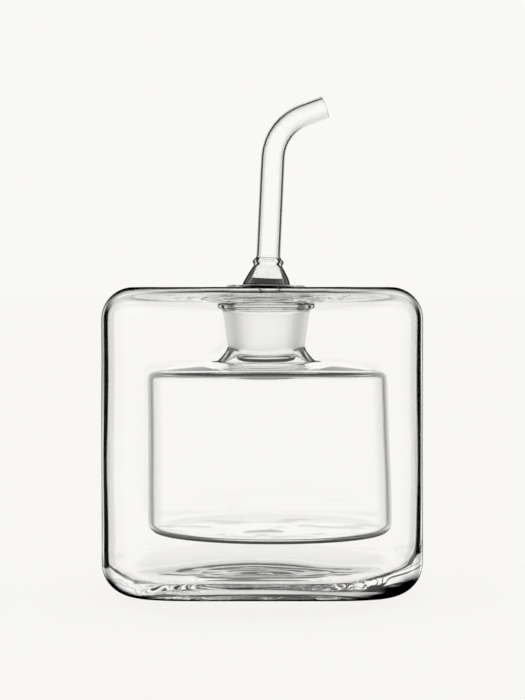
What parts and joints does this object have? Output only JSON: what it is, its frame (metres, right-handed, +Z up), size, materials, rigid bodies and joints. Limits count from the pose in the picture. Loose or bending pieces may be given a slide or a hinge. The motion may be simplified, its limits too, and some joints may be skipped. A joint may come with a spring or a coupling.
{
  "type": "oil and vinegar cruet",
  "caption": "Clear blown-glass table cruet: a straight-sided vessel hung by its neck inside a sealed round-cornered shell, with a hollow ground stopper drawn out into a bent pouring spout.",
  "frame": {"origin": "middle of the shell's footprint, on the plane of its standing ring", "axes": "+Z up along the shell's axis; the spout pours towards +X"},
  "size_m": [0.1, 0.1, 0.1554],
  "materials": {
    "vessel_glass": "clear fire-polished glass, with a fine-ground frosted taper inside the neck",
    "stopper_glass": "clear fire-polished glass, with a fine-ground frosted taper on the plug"
  },
  "bodies": {
    "root": {"double_wall_vessel": "vessel_glass", "pouring_stopper": "stopper_glass"}
  },
  "joints": []
}
